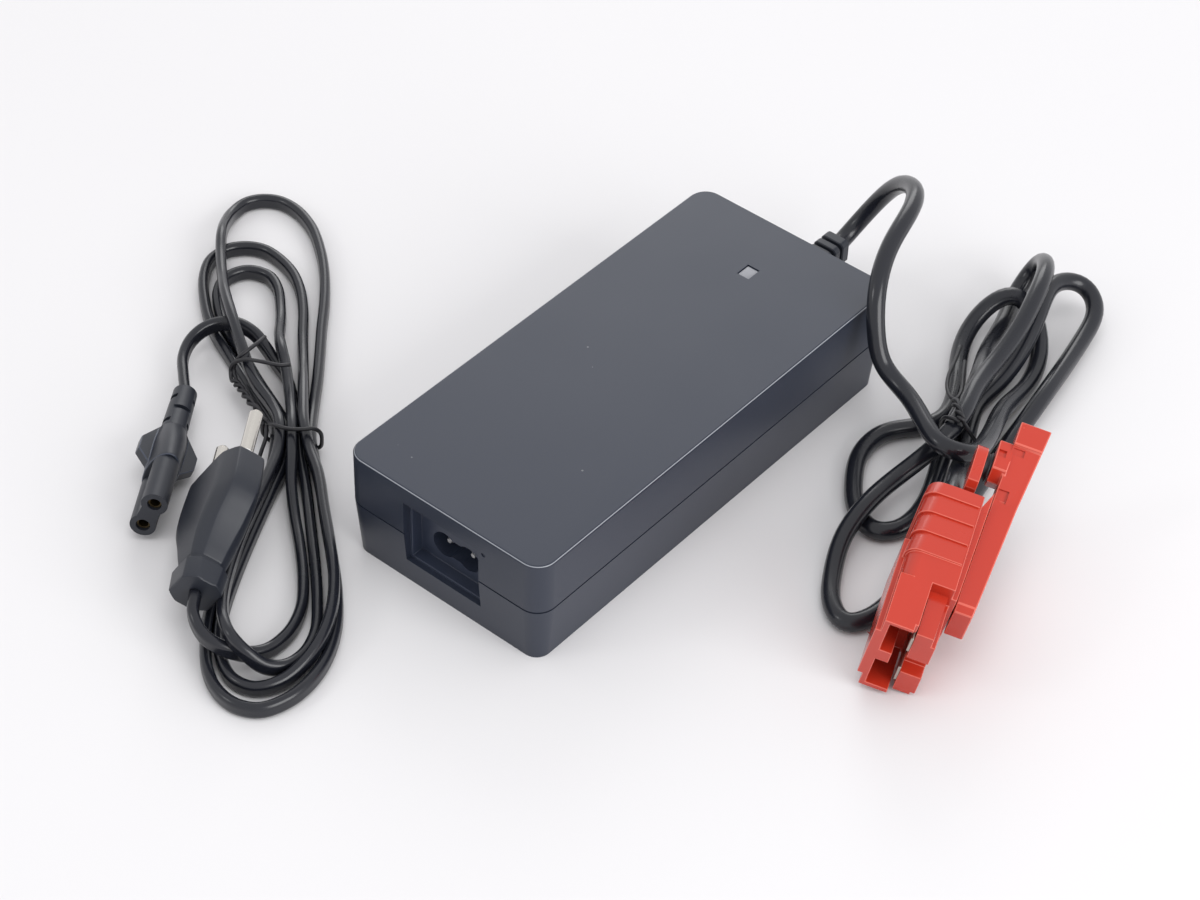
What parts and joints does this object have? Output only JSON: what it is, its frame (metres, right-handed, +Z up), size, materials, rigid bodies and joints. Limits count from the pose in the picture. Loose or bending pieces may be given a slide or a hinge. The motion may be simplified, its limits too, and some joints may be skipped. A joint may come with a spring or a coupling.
{
  "type": "battery charger",
  "caption": "Closed dark power brick with an inlet, an output cord ending in a red latching battery connector, and a folded mains lead lying beside it.",
  "frame": {"origin": "middle of the case on the surface that it stands on", "axes": "+Y from the mains inlet to the output gland along the case's length, +X across the case, +Z up"},
  "size_m": [0.2869, 0.2882, 0.0537],
  "materials": {
    "case_plastic": "satin moulded with a fine texture",
    "window_plastic": "clear frosted",
    "dark_plastic": "satin",
    "connector_plastic": "satin moulded",
    "red_plastic": "gloss moulded",
    "sleeve_plastic": "white gloss",
    "cord_jacket": "gloss flexible",
    "tie_plastic": "coated wire",
    "dark_rubber": "matt",
    "plated_contact": "plated",
    "brass_contact": "bright",
    "steel_pin": "dark",
    "board_laminate": "green resist",
    "fuse_glass": "clear",
    "winding_tape": "yellow tape",
    "capacitor_case": "gloss",
    "capacitor_sleeve": "printed sleeve without text",
    "package_plastic": "moulded",
    "ferrite": "sintered",
    "sink_aluminium": "extruded"
  },
  "bodies": {
    "charger": {"top_cover": "case_plastic", "bottom_cover": "case_plastic", "indicator_window": "window_plastic", "inlet_housing": "dark_plastic", "inlet_pins": "plated_contact", "circuit_board": "board_laminate", "status_led": "window_plastic", "fuse": "fuse_glass", "input_choke": "winding_tape", "x_capacitor": "capacitor_case", "bridge_rectifier": "package_plastic", "bulk_capacitor": "capacitor_sleeve", "transformer_core": "ferrite", "transformer_winding": "winding_tape", "primary_heat_sink": "sink_aluminium", "power_transistor": "package_plastic", "secondary_heat_sink": "sink_aluminium", "output_diode": "package_plastic", "output_capacitors": "capacitor_sleeve", "output_leads": "cord_jacket", "cord_gland": "dark_plastic", "output_cord": "cord_jacket", "plug_housing": "red_plastic", "plug_contacts": "plated_contact", "latch_pin": "steel_pin", "latch_spring": "dark_rubber", "output_cord_tie": "tie_plastic", "mains_connector_body": "connector_plastic", "mains_connector_nose": "connector_plastic", "mains_connector_contacts": "brass_contact", "mains_plug_body": "connector_plastic", "mains_plug_sleeves": "sleeve_plastic", "mains_plug_pins": "plated_contact", "mains_cord_upper": "cord_jacket", "mains_cord_lower": "cord_jacket", "mains_hank_upper": "cord_jacket", "mains_hank_lower": "cord_jacket", "mains_cord_tie": "tie_plastic"},
    "latch": {"latch_lever": "red_plastic"}
  },
  "joints": [
    {"name": "latch_hinge", "type": "hinge", "parent": "charger", "child": "latch", "pos_m": [0.09648, 0.03919, 0.02954], "axis": [-0.9022, -0.3918, 0.1805], "range_deg": [0, 10], "stiffness_Nm_per_rad": 0.2, "springref_deg": -5.73}
  ]
}
